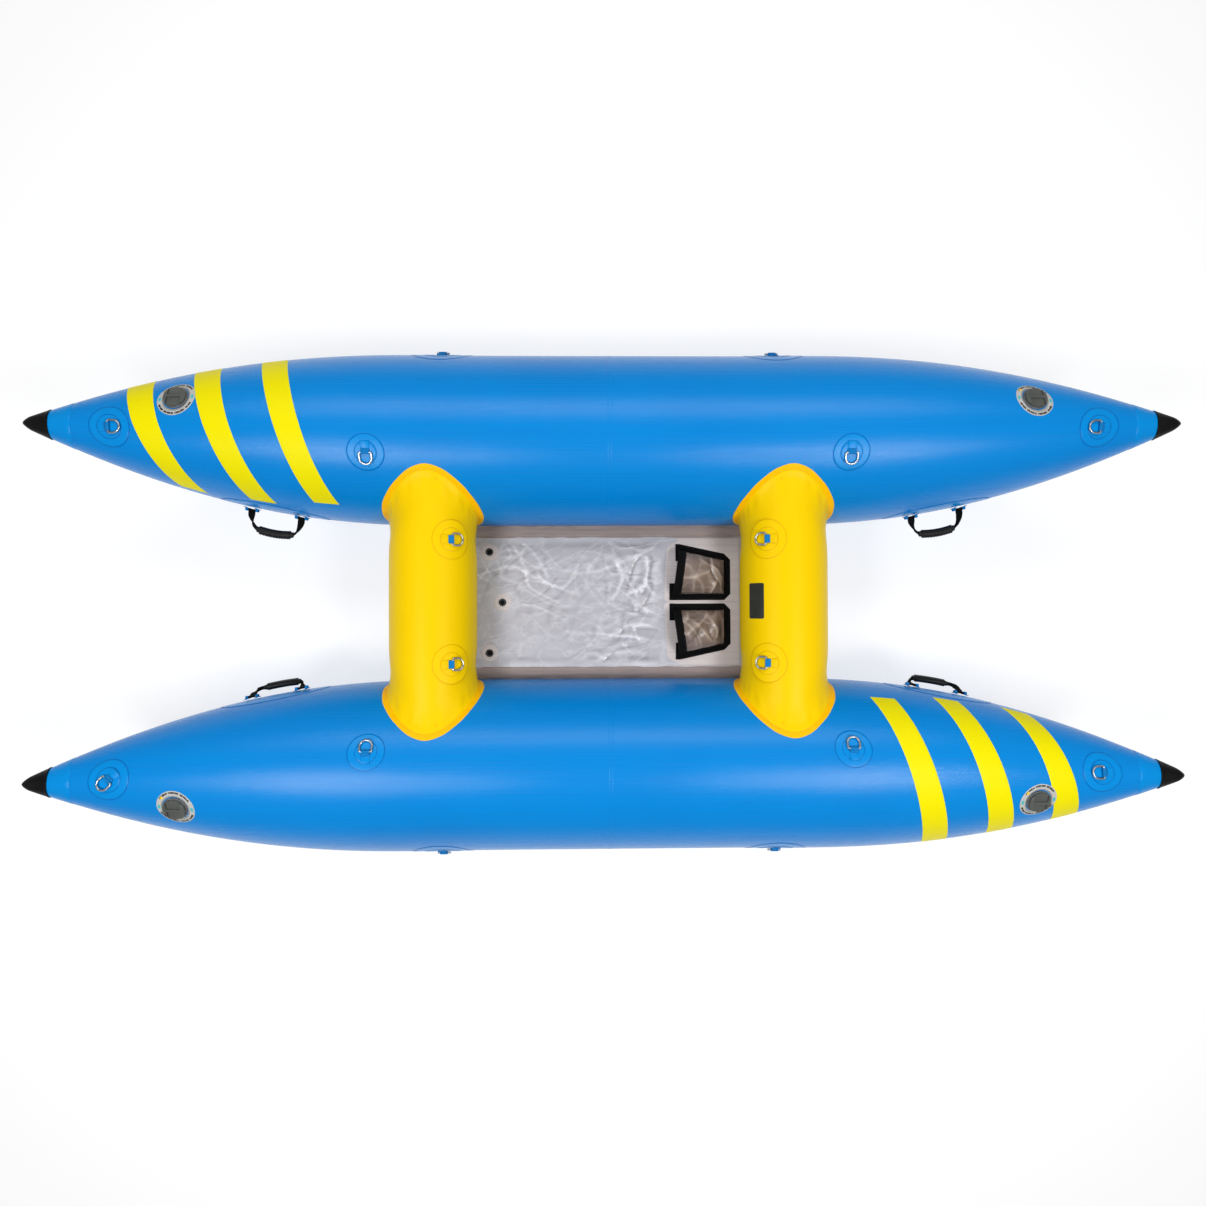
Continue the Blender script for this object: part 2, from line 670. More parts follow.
for name, end in ENDS.items():
    thwart = Cloth().lay(*thwart_rows(end), closed=True)
    cloth_piece(f"thwart_skin_{name}", thwart, YELLOW, replaces=[f"thwart_{name}"])

# %% Four flanges, bonded round the ends of the thwarts
def collar_radius(angle, widths):
    """Radii from the thwart's axis that lie so far along the side tube's cloth."""
    r = (THWART_R + np.linspace(-4, 34, 77) * MM)[:, None]
    y = saddle_y(THWART_X + r * np.sin(angle), THWART_Z + r * np.cos(angle), 1 * MM)
    run = np.concatenate([0 * y[:1], np.cumsum(np.hypot(np.diff(y, axis=0), np.diff(r, axis=0)), 0)])
    run -= run[8]
    return np.stack([np.interp(widths, run[:, j], r[:, 0]) for j in range(run.shape[1])], 1)


def lay_flange(cloth, side, end, widths, heights, sides=181):
    """A collar on the side tube, given by how far it reaches and how high it stands."""
    angle = np.linspace(-math.pi, math.pi, sides)
    uneven = 1 + 0.02 * np.sin(angle * 7) + 0.015 * np.sin(angle * 16 + 2)
    radius = collar_radius(angle, widths)
    radius = THWART_R + (radius - THWART_R) * uneven
    angle = angle[None, :]
    ripple = 1 + 0.3 * np.sin(angle * 31 + 3 * np.sin(angle * 4)) * (widths[:, None] < 12 * MM)
    x = THWART_X + radius * np.sin(angle)
    z = THWART_Z + radius * np.cos(angle)
    y = saddle_y(x, z, heights[:, None] * ripple)
    points = np.stack([end * x, side * y, z], -1)
    away = np.stack([x * 0, side * (y - TUBE_Y), z - axis_z(x)], -1)
    metres = np.stack([angle * THWART_R + 0 * radius, radius], -1)
    cloth.lay(points[:, :-1], metres, away[:, :-1], closed=True)


flanges = Cloth()
widths = np.array([-3, 0, 2.5, 5, 8, 13, 18, 20.5, 21.5, 22]) * MM
heights = np.array([9, 6.5, 4, 2.6, 2.2, 2.1, 2.1, 2.0, 1.4, 0.1]) * MM
for side in SIDES.values():
    for end in ENDS.values():
        lay_flange(flanges, side, end, widths, heights)
cloth_piece("flange_collars", flanges, FLANGE, replaces=["thwart_flanges"])

# %% [markdown]
# ## Patches
# A round patch spreads a fitting's pull over the tube. The smaller disc bonded on top of it
# stands out as a second ring. The profile says how high the patch is at each share of its
# radius, so one function lays every round or oval patch.

# %% Round and oval patches
DOUBLE = (np.array([0, 0.25, 0.5, 0.565, 0.585, 0.6, 0.615, 0.7, 0.9, 0.965, 0.985, 1]),
          np.array([1.9, 1.9, 1.9, 1.85, 1.3, 0.9, 0.8, 0.95, 0.95, 0.9, 0.55, 0.05]) * MM)
SINGLE = (np.array([0, 0.3, 0.6, 0.9, 0.97, 0.985, 1]),
          np.array([1.2, 1.2, 1.2, 1.2, 1.15, 0.8, 0.05]) * MM)


def lay_patch(cloth, place, radius_at, centre, angle0, half_l, half_w, profile, sides=72):
    """An oval patch about a point: half_l along the tube and half_w round it."""
    share, height = (values[:, None] for values in profile)
    turn = np.linspace(0, 2 * math.pi, sides + 1)[None, :]
    u = centre + half_l * share * np.cos(turn)
    arc = half_w * share * np.sin(turn)
    angle = angle0 + arc / radius_at(u)
    height = np.broadcast_to(height, u.shape)
    points = place(u, angle, height)
    outward = place(u, angle, height + 0.01) - points
    metres = np.stack([u, arc + angle0 * 0.2], -1)
    cloth.lay(points[:, :-1], metres, outward[:, :-1], closed=True)


# %% Patches on the tubes and on the thwarts
TOP_RING, END_RING, SIDE_RING = (765 * MM, -19), (1550 * MM, -7), (562 * MM, 74)
RING_PATCH_R, TOP_PATCH_R, SIDE_PATCH_R = 63.5 * MM, 58 * MM, 101.5 * MM
THWART_RING_Y, THWART_RING_A = 200 * MM, 35
OVAL_L, OVAL_W = 170 * MM, 75 * MM
DISC_LINE = np.array([0.574, 0.592, 0.61]), np.array([1.5, 1.62, 1.1]) * MM
RIM_LINE = np.array([0.978, 0.998, 1.02]), np.array([0.9, 0.75, 0.05]) * MM
OVAL_LINE = np.array([0.985, 0.998, 1.012]), np.array([1.15, 1.0, 0.05]) * MM
blue_patches, yellow_patches, handle_patches = Cloth(), Cloth(), Cloth()
blue_lines, yellow_lines = Cloth(), Cloth()
ROUND_PATCH = DOUBLE, DISC_LINE, RIM_LINE
on_blue = blue_patches, blue_lines, blue_lines
on_yellow = yellow_patches, yellow_lines, yellow_lines
for side in SIDES.values():
    for end in ENDS.values():
        for (x, angle), size in ((TOP_RING, TOP_PATCH_R), (END_RING, RING_PATCH_R),
                                 (SIDE_RING, SIDE_PATCH_R)):
            for cloth, profile in zip(on_blue, ROUND_PATCH):
                lay_patch(cloth, tube_place(side), tube_rad, end * x, math.radians(angle),
                          size, size, profile)
        for cloth, profile in zip(on_yellow, ROUND_PATCH):
            lay_patch(cloth, thwart_place(end), lambda u: THWART_R, side * THWART_RING_Y,
                      math.radians(THWART_RING_A), RING_PATCH_R, RING_PATCH_R, profile)
        for cloth, profile in ((handle_patches, SINGLE), (blue_lines, OVAL_LINE)):
            lay_patch(cloth, tube_place(side), tube_rad, end * HANDLE_X, math.radians(HANDLE_A),
                      OVAL_L, OVAL_W, profile, 96)
cloth_piece("ring_patches_blue", blue_patches, PATCH_BLUE, replaces=["ring_patches"])
cloth_piece("ring_patches_yellow", yellow_patches, YELLOW)
cloth_piece("patch_edges_blue", blue_lines, BLUE_EDGE)
cloth_piece("patch_edges_yellow", yellow_lines, YELLOW_EDGE)
cloth_piece("handle_patches_oval", handle_patches, PATCH_BLUE,
            replaces=["handle_patches"])

# %% [markdown]
# ## Webbing that follows a path
# Loops, tabs and handle straps are ribbons. A ribbon needs a path, and at each point of it
# the direction of its width. Each fitting is drawn in its own small frame, with +Z out of
# the craft, and a matrix carries it to its place.

# %% Frames of the fittings, and ribbons
def rotation(axis, degrees):
    return Matrix.Rotation(math.radians(degrees), 4, axis)


def tube_frame(side, x, degrees, heading=0.0, height=0.0):
    """+X along the boat, +Y outboard round the tube and +Z out of it."""
    point = tube_place(1)(x, math.radians(degrees), height)
    step = 0.001
    slope = (tube_rad(x + step) - tube_rad(x - step)
             + (axis_z(x + step) - axis_z(x - step)) * math.cos(math.radians(degrees))) / (2 * step)
    mirror = Matrix.Diagonal((1, side, 1, 1))
    return (mirror @ Matrix.Translation(Vector(point)) @ rotation("X", -degrees)
            @ rotation("Y", -math.degrees(math.atan(slope))) @ rotation("Z", heading))


def thwart_frame(end, y, degrees, height=0.0):
    """+Y round the thwart towards the cockpit and +Z out of it."""
    return (Matrix.Translation((end * THWART_X, y, THWART_Z)) @ rotation("Y", -end * degrees)
            @ Matrix.Translation((0, 0, THWART_R + height)) @ rotation("Z", end * 90))


def carried(matrix, points):
    turn, shift = np.array(matrix.to_3x3()), np.array(matrix.translation)
    return np.asarray(points) @ turn.T + shift


def lay_ribbon(cloth, path, widths, width_ways, thick, matrix=Matrix.Identity(4)):
    """A flat strap along a path: both faces and both edges, closed round its section."""
    path, width_ways = np.asarray(path, float), np.asarray(width_ways, float)
    tangent = np.gradient(path, axis=0)
    tangent /= np.linalg.norm(tangent, axis=1, keepdims=True)
    width_ways = np.broadcast_to(width_ways, path.shape)
    width_ways = width_ways - (width_ways * tangent).sum(1, keepdims=True) * tangent
    width_ways /= np.linalg.norm(width_ways, axis=1, keepdims=True)
    normal = np.cross(tangent, width_ways)
    half = np.broadcast_to(np.asarray(widths, float) / 2, len(path))[:, None]
    depth = np.broadcast_to(np.asarray(thick, float) / 2, len(path))[:, None]
    section = [(1, 0.5), (0.93, 1), (0.5, 1), (0, 1), (-0.5, 1), (-0.93, 1),
               (-1, 0.5), (-1, -0.5), (-0.93, -1), (0, -1), (0.93, -1), (1, -0.5), (1, 0.5)]
    rows = np.stack([path + width_ways * half * a + normal * depth * b for a, b in section], 1)
    run = np.concatenate([[0], np.cumsum(np.linalg.norm(np.diff(path, axis=0), axis=1))])
    metres = np.stack([np.broadcast_to(run[:, None], rows.shape[:2]),
                       half * np.array([a for a, _ in section])[None, :]], -1)
    outward = rows - path[:, None, :]
    rows = np.concatenate([path[:1, None].repeat(len(section), 1), rows,
                           path[-1:, None].repeat(len(section), 1)])
    metres = np.concatenate([metres[:1], metres, metres[-1:]])
    outward = np.concatenate([outward[:1], outward, outward[-1:]])
    turn = np.array(matrix.to_3x3())
    cloth.lay(carried(matrix, rows)[:, :-1], metres, (outward @ turn.T)[:, :-1], closed=True)


# %% Loops that hold the rings' bars
PATCH_TOP = 2.1 * MM
SLEEVE_R, WEB_T = 5.0 * MM, 1.5 * MM


def loop_path(tail, centre_z, radius, thick, turn=(-90, 160), steps=22):
    """Along the patch, round the bar and back over its own tail."""
    low = thick / 2
    arc = [(radius * math.cos(math.radians(a)), centre_z + radius * math.sin(math.radians(a)))
           for a in np.linspace(*turn, steps)]
    back = [(-1.9 * radius, centre_z * 0.78 + low), (-2.6 * radius, 3.2 * low), (-tail, 3.0 * low)]
    return np.array([(0, y, z) for y, z in [(-tail, low), (-tail / 2, low), *arc, *back]])


ring_frames = []
for side in SIDES.values():
    for end in ENDS.values():
        heading = 90 if end > 0 else -90 if side > 0 else 45
        ring_frames += [tube_frame(side, end * TOP_RING[0], TOP_RING[1], 180, PATCH_TOP),
                        tube_frame(side, end * SIDE_RING[0], SIDE_RING[1], 0, PATCH_TOP),
                        tube_frame(side, end * END_RING[0], END_RING[1], heading, PATCH_TOP),
                        thwart_frame(end, side * THWART_RING_Y, THWART_RING_A, PATCH_TOP)]
TAIL_PATH = np.array([(0, -36, -0.9), (0, -34, -0.2), (0, -20, 0.1), (0, -11, 0.1), (0, -9, -0.5)]) * MM
LOOP_PATH = loop_path(13 * MM, SLEEVE_R, 4.15 * MM, WEB_T)
TAIL_W, TAIL_T, LOOP_W = 29 * MM, 1.6 * MM, 26 * MM
loops, blue_tails, yellow_tails = Cloth(), Cloth(), Cloth()
for number, place in enumerate(ring_frames):
    on_thwart = number % 4 == 3
    lay_ribbon(yellow_tails if on_thwart else blue_tails, TAIL_PATH, TAIL_W, (1, 0, 0), TAIL_T, place)
    lay_ribbon(loops, LOOP_PATH, LOOP_W, (1, 0, 0), WEB_T, place)
cloth_piece("loop_tails_blue", blue_tails, PATCH_BLUE)
cloth_piece("loop_tails_yellow", yellow_tails, YELLOW)
cloth_piece("ring_webbing_loops", loops, WEB_BLUE, replaces=["ring_loops"])

# %% [markdown]
# ## Lifting handles
# Each handle is one length of webbing. Its ends loop over pins held by blue tabs on the
# patch; from there it twists and narrows, folded in half, into a ribbed rubber grip that
# bows outwards a little. Only the grip's outer side has ribs, and a collar closes each end.

# %% Tabs for the handle straps
HANDLE_SPAN, HANDLE_REACH = 170 * MM, 66 * MM
EYE_Z, PIN_Z, STRAP_W = 8.7 * MM, 4.0 * MM, 24 * MM
REST = {1: 12, -1: 72}
over = [(y, 0.9 * MM) for y in (-19 * MM, -9 * MM)]
hump = [(-5.6 * MM * math.cos(math.radians(a)), PIN_Z + 1.6 * MM + 5.4 * MM * math.sin(math.radians(a)))
        for a in np.linspace(-25, 205, 17)]
TAB_PATH = np.array([(0, y, z) for y, z in over + hump + [(-y, z) for y, z in over[::-1]]])
tabs = Cloth()
for side in SIDES.values():
    for end in ENDS.values():
        for way in (1, -1):
            for ear in (1, -1):
                place = (tube_frame(side, end * HANDLE_X, HANDLE_A, 0, PATCH_TOP) @ Matrix.Translation(
                    (way * HANDLE_SPAN / 2 + ear * 17.5 * MM, 0, 0)))
                lay_ribbon(tabs, TAB_PATH, 9 * MM, (1, 0, 0), 1.4 * MM, place)
cloth_piece("handle_tabs_blue", tabs, WEB_BLUE, replaces=["handle_anchor_tabs"])

# %% Straps and grips, one pair on each handle's body
GRIP_L, GRIP_R, BOW = 128 * MM, 14.5 * MM, 7 * MM


def strap_leg(way, lean):
    """The folded, twisted leg from a tab to the grip; lean differs from leg to leg."""
    s = np.linspace(0, 1, 34)
    x = way * (HANDLE_SPAN / 2 - 20 * MM * s ** 1.6 - 6 * MM * np.maximum(0, s - 0.75) * 4 * s)
    z = 3 * MM + (HANDLE_REACH - 5 * MM) * s ** 0.9
    y = lean * 5 * MM * np.sin(math.pi * s)
    twist = np.radians(110 * np.clip((s - 0.25) / 0.6, 0, 1)) * lean
    width_way = np.stack([np.cos(twist), np.sin(twist), 0.25 * np.sin(twist)], -1)
    width = STRAP_W * (1 - 0.48 * np.clip((s - 0.15) / 0.5, 0, 1))
    thick = 2.4 * MM + 3.4 * MM * np.clip((s - 0.2) / 0.4, 0, 1)
    return np.stack([x, y, z], -1), width, width_way, thick


def lay_eye(cloth, way, place):
    """The strap's end, rolled round its pin."""
    turn = np.linspace(-math.pi, math.pi, 25)
    roll = 2.7 * MM
    path = np.stack([turn * 0 + way * HANDLE_SPAN / 2, roll * np.sin(turn), roll * np.cos(turn)], -1)
    lay_ribbon(cloth, path, STRAP_W, (1, 0, 0), 2.2 * MM, place)


def grip_points(rows=150, sides=40):
    """A bowed bar: ribs on its outer half, a flat facet on top, a collar at each end."""
    x = np.linspace(-GRIP_L / 2, GRIP_L / 2, rows)
    turn = np.linspace(-math.pi, math.pi, sides + 1)[None, :]
    outer = np.clip(np.cos(turn), 0, 1) ** 0.6
    ribs = 0.5 + 0.5 * np.sin(x[:, None] * 2 * math.pi / (9.2 * MM))
    inside = np.clip((GRIP_L / 2 - 15 * MM - np.abs(x)) / (3 * MM), 0, 1)[:, None]
    collar = np.clip((np.abs(x) - GRIP_L / 2 + 12 * MM) / (2 * MM), 0, 1)[:, None]
    neck = np.clip((GRIP_L / 2 - np.abs(x)) / (2.5 * MM), 0, 1)[:, None] ** 0.5
    r = GRIP_R - 2.2 * MM * ribs ** 2 * outer * inside - collar * 4.5 * MM
    r = r * (0.55 + 0.45 * neck)
    facet = 0.86 + 0.14 * np.abs(np.cos(turn))
    bow = BOW * (1 - (2 * x[:, None] / GRIP_L) ** 2) - BOW * 0.6
    points = np.stack([np.broadcast_to(x[:, None], r.shape), r * np.sin(turn) * facet * 0.92,
                       HANDLE_REACH + bow + r * np.cos(turn)], -1)
    return points, x, turn


def lay_grip(cloth, place):
    points, x, turn = grip_points()
    middle = points.mean(1, keepdims=True)
    points = np.concatenate([middle[:1].repeat(points.shape[1], 1), points,
                             middle[-1:].repeat(points.shape[1], 1)])
    middle = points.mean(1, keepdims=True)
    run = np.concatenate([x[:1], x, x[-1:]])
    metres = np.stack(np.broadcast_arrays(run[:, None], turn * GRIP_R), -1)
    outward = (points - middle) @ np.array(place.to_3x3()).T
    cloth.lay(carried(place, points)[:, :-1], metres, outward[:, :-1], closed=True)


for side_name, side in SIDES.items():
    for end_name, end in ENDS.items():
        body = f"handle_{end_name}_{side_name}"
        place = (tube_frame(side, end * HANDLE_X, HANDLE_A) @ Matrix.Translation((0, 0, EYE_Z))
                 @ rotation("X", REST[side]))
        strap, grip = Cloth(), Cloth()
        for way in (1, -1):
            lay_ribbon(strap, *strap_leg(way, way * end), place)
            lay_eye(strap, way, place)
        lay_grip(grip, place)
        cloth_piece(f"strap_webbing_{end_name}_{side_name}", strap, WEB_BLACK,
                    body=body, replaces=[f"handle_strap_{end_name}_{side_name}"])
        cloth_piece(f"grip_rubber_{end_name}_{side_name}", grip, GRIP,
                    body=body, replaces=[f"handle_grip_{end_name}_{side_name}"])

# %% [markdown]
# ## The floor
# The floor is one thin sheet, held along its sides by folded hems and pulled down into the
# thwarts' flaps at its ends. It can't be pulled flat everywhere, so it is covered in soft
# creases. Creases are the narrow zero lines of a smooth noise, bent by a second noise.

# %% Height of the floor at any point
HEM_IN, HEM_END = 223 * MM, 577 * MM
DRAINS = [(-422 * MM, 180 * MM), (-376 * MM, 0.0), (-422 * MM, -180 * MM)]
CUP_X, CUP_SKEW, CUP_L, CUP_W, CUP_NARROWING = 238 * MM, 22 * MM, 176 * MM, 152 * MM, 34 * MM
CUP_H, CUP_Y, CUP_LEAN, CUP_WEB = 74 * MM, 30 * MM, -7 * MM, 24 * MM
CUP_FOOT = FLOOR_TOP + 1.8 * MM


def crease(x, y, scale, slant, seed, sharp=5.5):
    """Near 1 along a crooked line, and near 0 away from it."""
    bend = noise.noise(Vector((x * 4, y * 4, seed + 9)))
    u = (x * math.cos(slant) + y * math.sin(slant)) * scale * 0.45
    v = (y * math.cos(slant) - x * math.sin(slant)) * scale
    value = noise.noise(Vector((u + bend, v + 1.4 * bend, seed)))
    return max(0.0, 1 - abs(value) * sharp) ** 2


def floor_dip(x, y):
    """How far the sheet stands above (+) or hangs below (-) its level."""
    calm = min(1.0, max(0.0, (0.20 - x) / 0.06)) * min(1.0, max(0.0, (HEM_IN - abs(y)) / 0.02))
    for dx, dy in DRAINS:
        calm *= min(1.0, max(0.0, (math.hypot(x - dx, y - dy) - 0.03) / 0.04))
    folds = (crease(x, y, 11, 0.5, 1, 7) * 3.0 + crease(x, y, 17, -0.7, 4, 7) * 2.2
             + crease(x, y, 25, 0.2, 7, 8) * 1.2 + crease(x, y, 8, -0.25, 12, 7) * 3.2
             - crease(x, y, 14, 0.9, 19) * 2.2 - crease(x, y, 21, -0.1, 23) * 1.4)
    patch = 1.5 * max(0.0, noise.noise(Vector((x * 3.4, y * 3.9, 30))) + 0.3)
    slack = 5.0 * noise.noise(Vector((x * 3.5, y * 5, 17)))
    grain = 0.3 * noise.noise(Vector((x * 30, y * 30, 3)))
    return MM * calm * (folds * patch + slack - 3.0) + MM * grain


FLOOR_END, FLOOR_SIDE = THWART_X + 28 * MM, 234 * MM
FLOOR_ROWS, FLOOR_COLS = 310, 117
floor_x = np.linspace(-FLOOR_END, FLOOR_END, FLOOR_ROWS + 1)
floor_y = np.linspace(-FLOOR_SIDE, FLOOR_SIDE, FLOOR_COLS + 1)
dips = np.array([[floor_dip(x, y) for y in floor_y] for x in floor_x])
print(f"floor: deepest {dips.min() / MM:.1f} mm, highest {dips.max() / MM:.1f} mm")


def floor_at(x, y, lift):
    """Points on the floor sheet, by bilinear reading of its heights."""
    u = np.clip((x + FLOOR_END) / (2 * FLOOR_END) * FLOOR_ROWS, 0, FLOOR_ROWS - 0.001)
    v = np.clip((y + FLOOR_SIDE) / (2 * FLOOR_SIDE) * FLOOR_COLS, 0, FLOOR_COLS - 0.001)
    i, j = u.astype(int), v.astype(int)
    fu, fv = u - i, v - j
    dip = (dips[i, j] * (1 - fu) * (1 - fv) + dips[i + 1, j] * fu * (1 - fv)
           + dips[i, j + 1] * (1 - fu) * fv + dips[i + 1, j + 1] * fu * fv)
    return np.stack(np.broadcast_arrays(x, y, FLOOR_TOP + dip + lift), -1)


# %% The floor sheet
UP = np.array([0.0, 0.0, 1.0])
grid_x, grid_y = np.meshgrid(floor_x, floor_y, indexing="ij")
sheet = Cloth().lay(floor_at(grid_x, grid_y, 0), np.stack([grid_x, grid_y], -1), UP)
floor_sheet = cloth_piece("floor_sheet", sheet, FLOOR, 1.2 * MM,
                          replaces=["floor_panel"])


def mark_folds(piece, heights, reach):
    """Stores how far each point stands over (+) or under (-) its neighbourhood."""
    near = heights.copy()
    for axis in (0, 1):
        padded = np.pad(near, [(reach, reach) if axis == a else (0, 0) for a in (0, 1)], "edge")
        total = np.cumsum(np.insert(padded, 0, 0, axis), axis)
        span = 2 * reach + 1
        near = (np.take(total, range(span, total.shape[axis]), axis)
                - np.take(total, range(total.shape[axis] - span), axis)) / span
    fold = (heights - near) / (2.4 * MM)
    store = piece.data.attributes.new("Fold", "FLOAT", "POINT")
    store.data.foreach_set("value", np.clip(fold, -1, 1).ravel().astype(np.float32))
    print(f"{piece.name}: folds from {fold.min():.1f} to {fold.max():.1f}")


def punch_drains(piece):
    """Opens the sheet inside each grommet, whose flanges hide the cut."""
    work = bmesh.new()
    work.from_mesh(piece.data)
    inside = [face for face in work.faces if any(
        math.hypot(face.calc_center_median().x - x, face.calc_center_median().y - y) < 12 * MM
        for x, y in DRAINS)]
    bmesh.ops.delete(work, geom=inside, context="FACES")
    work.to_mesh(piece.data)
    work.free()
    print("faces cut for the drains:", len(inside))


mark_folds(floor_sheet, dips, 5)
punch_drains(floor_sheet)

# %% Hems: a fold of woven cloth along each side
def lay_hem(cloth, side):
    x = np.linspace(-HEM_END, HEM_END, 160)[:, None]
    turn = np.linspace(-math.pi, math.pi, 25)[None, :]
    wave = np.array([noise.noise(Vector((value * 9, side * 5, 2))) for value in x[:, 0]])[:, None]
    pull = 5 * MM * np.clip((np.abs(x) - 500 * MM) / (HEM_END - 500 * MM), 0, 1) ** 2
    outer = saddle_y(0, FLOOR_TOP, 0) + 1.5 * MM
    inner = HEM_IN + 7 * MM + wave * 2.4 * MM
    middle = (outer + inner - pull) / 2
    half = (outer - inner - pull) / 2
    puff = 3.2 * MM + 1.6 * MM * wave
    y = middle + half * np.sign(np.cos(turn)) * np.abs(np.cos(turn)) ** 0.55
    ridges = 1.3 * MM * np.sin(y * 230 + wave * 7) * (np.sin(turn) > 0)
    z = FLOOR_TOP - 0.7 * MM + puff * np.sin(turn) + ridges
    points = np.stack([np.broadcast_to(x, y.shape), side * y, z], -1)
    centre = np.stack([np.broadcast_to(x, y.shape), side * (middle + 0 * y), FLOOR_TOP + 0 * y], -1)
    points = np.concatenate([centre[:1], points, centre[-1:]])
    metres = np.stack([points[..., 0], turn * 0.014 + 0 * points[..., 0]], -1)
    outward = points - np.concatenate([centre[:1], centre, centre[-1:]])
    cloth.lay(points[:, :-1], metres, outward[:, :-1], closed=True)


hems = Cloth()
for side in SIDES.values():
    lay_hem(hems, side)
hem_strips = cloth_piece("hem_strips", hems, TAUPE, replaces=["floor_hems"])

# %% [markdown]
# The beige base patches under the foot cups have round corners towards the stern. Their
# rows run along the craft, and each row starts where the rounded outline says.

# %% Base patches and drain patches on the floor
BASE_START, BASE_END = 200 * MM, 468 * MM


def lay_base(cloth, side, rows=60, cols=90):
    y = np.linspace(1.5 * MM, HEM_IN + 4 * MM, rows)[:, None]
    corner = 34 * MM
    outer = np.clip(y - (HEM_IN - 8 * MM - corner), 0, corner)
    notch = np.clip(14 * MM - y, 0, 14 * MM)
    start = BASE_START + corner - np.sqrt(corner ** 2 - outer ** 2) + notch ** 2 / (14 * MM)
    start = start + 12 * MM * (y / HEM_IN)
    x = start + (BASE_END - start) * np.linspace(0, 1, cols)[None, :] ** 1.2
    rim = np.clip((x - start) / (3 * MM), 0, 1)
    points = floor_at(x, side * y + 0 * x, 0.2 * MM + 1.0 * MM * rim)
    cloth.lay(points, np.stack([x, y + 0 * x], -1), UP)


bases = Cloth()
for side in SIDES.values():
    lay_base(bases, side)
for dx, dy in DRAINS:
    def level(u, v, height, dx=dx, dy=dy):
        return floor_at(u + dx, v + dy, height)
    lay_patch(bases, level, lambda u: 1.0, 0.0, 0.0, 30 * MM, 30 * MM,
              (np.array([0.3, 0.5, 0.8, 0.93, 1]), np.array([1.3, 1.3, 1.2, 1.1, 0.1]) * MM), 48)
drain_flaps = Cloth()
for dx, dy in DRAINS:
    def under(u, v, height, dx=dx, dy=dy):
        return np.stack(np.broadcast_arrays(dx + u, dy + v, FLOOR_TOP - 7 * MM + height), -1)
    lay_patch(drain_flaps, under, lambda u: 1.0, 0.0, 0.0, 19 * MM, 19 * MM,
              (np.array([0, 0.4, 0.8, 1]), np.array([0, 0.3, 1.2, 3.2]) * MM), 36)
cloth_piece("drain_flaps_dark", drain_flaps, RUBBER, 0.8 * MM)
base_patches = cloth_piece("floor_patches", bases, BEIGE,
                           replaces=["floor_reinforcements"])

# %% Flaps bonded under the thwarts, from which the floor hangs
flaps = Cloth()
for end in ENDS.values():
    y = np.linspace(-0.222, 0.222, 60)[:, None]
    angle = np.radians(np.linspace(145, 215, 30))[None, :]
    proud = 1.4 * MM + 0.3 * MM * np.sin(y * 60)
    points = thwart_place(end)(y, angle, proud)
    flaps.lay(points, np.stack([y + 0 * angle, angle * THWART_R + 0 * y], -1),
              thwart_place(end)(y, angle, proud + 0.01) - points)
flap_strips = cloth_piece("flap_strips", flaps, TAUPE, 0.8 * MM,
                          replaces=["floor_end_flaps"])

# %% [markdown]
# ## Foot cups
# A foot cup is a pocket: an arch of webbing over its mouth, a frame of webbing stitched
# round its base, and soft coated cloth between them that folds where it is slack. The
# shape is a row of arches, each lower than the one before, with creases laid over it.

# %% Arches of a foot cup
def cup_arch(u, turn, margin=0.0):
    """Points on the left cup at a share u from mouth to toe, and a turn from 0 to pi."""
    x_in = CUP_X + CUP_L * u
    x_out = CUP_X + CUP_SKEW + (CUP_L - CUP_SKEW) * u
    y_in = CUP_Y - margin
    y_out = CUP_Y + CUP_W - CUP_NARROWING * u + margin
    inside = np.clip(u, 0, 1)
    height = CUP_H * (0.12 + 0.88 * np.sqrt(1 - inside ** 2.2)) + margin
    across = (1 - np.cos(turn)) / 2
    rise = np.abs(np.sin(turn)) ** 0.8
    return np.stack([x_in + (x_out - x_in) * across + CUP_LEAN * rise * (1 - u),
                     y_in + (y_out - y_in) * across, CUP_FOOT + height * rise], -1)


def slack(point, seed, free):
    """Pushes a point in along its fold lines, more where the cloth is free."""
    x, y, z = point
    fold = crease(x * 1.3, y + z * 0.8, 9, 0.9 + seed * 0.3, seed, 3.2) * 7.5
    fold += crease(x, y - z * 0.6, 13, -0.8, seed + 3, 3.4) * 5.0
    fold -= crease(x + z * 0.4, y, 11, 0.2 + seed, seed + 5, 3.2) * 5.5
    sag = 3.0 + 5.5 * noise.noise(Vector((x * 14, y * 14, seed + z * 10)))
    return MM * free * (fold - sag)


def cup_cloth(side, seed, rows=90, cols=100):
    u = np.linspace(0.015, 1, rows)[:, None]
    turn = np.linspace(0, math.pi, cols)[None, :]
    u, turn = np.broadcast_arrays(u, turn)
    points = cup_arch(u, turn)
    normal = np.cross(np.gradient(points, axis=0), np.gradient(points, axis=1))
    normal /= np.linalg.norm(normal, axis=-1, keepdims=True) + 1e-9
    normal *= np.sign(normal[..., 2:3] + 1e-9)
    free = np.clip(u / 0.25, 0, 1) * np.clip((1 - u) / 0.06, 0, 1) * np.sin(turn) ** 0.7
    push = np.array([[slack(points[i, j], seed, free[i, j]) for j in range(cols)] for i in range(rows)])
    points = points + normal * push[..., None]
    points[..., 1] *= side
    run = np.stack([u * CUP_L, turn * 0.09], -1)
    inside = points.mean(1, keepdims=True) - np.array([0, 0, 0.05])
    return Cloth().lay(points, run, points - inside), push


